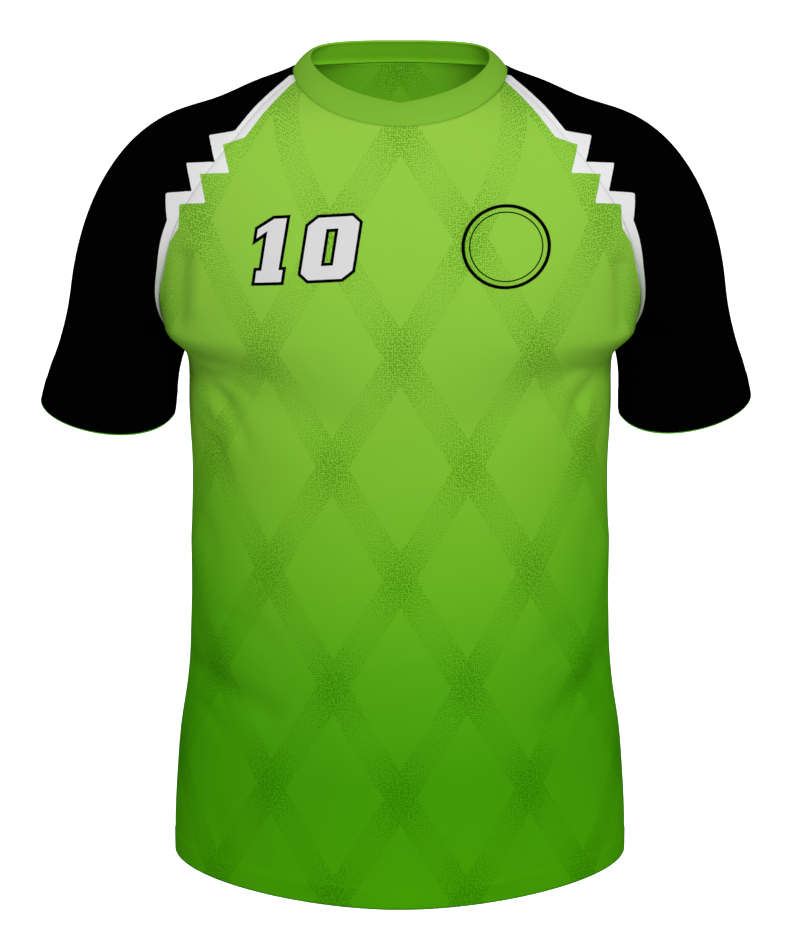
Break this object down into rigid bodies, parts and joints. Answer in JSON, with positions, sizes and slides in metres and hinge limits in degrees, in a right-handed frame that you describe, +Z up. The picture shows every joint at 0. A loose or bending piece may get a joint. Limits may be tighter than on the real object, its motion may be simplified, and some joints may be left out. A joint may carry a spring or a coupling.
{
  "type": "football jersey",
  "caption": "Short-sleeved raglan football jersey with a crew-neck band, filled out as if worn, hollow and open at neck, hem and cuffs.",
  "frame": {"origin": "midway between the two points where the shoulders meet the neck, level with them, where the wearer's shoulders carry the jersey", "axes": "+X towards the right seen from the front, the front faces -Y, +Z up"},
  "size_m": [0.634, 0.26, 0.7492],
  "materials": {
    "body_cloth": "matte interlock knit polyester, dyed green",
    "sleeve_cloth": "matte interlock knit polyester, black",
    "collar_cloth": "matte interlock knit polyester, green, folded double"
  },
  "bodies": {
    "root": {"front": "body_cloth", "back": "body_cloth", "sleeve_left": "sleeve_cloth", "sleeve_right": "sleeve_cloth", "collar": "collar_cloth"}
  },
  "joints": []
}
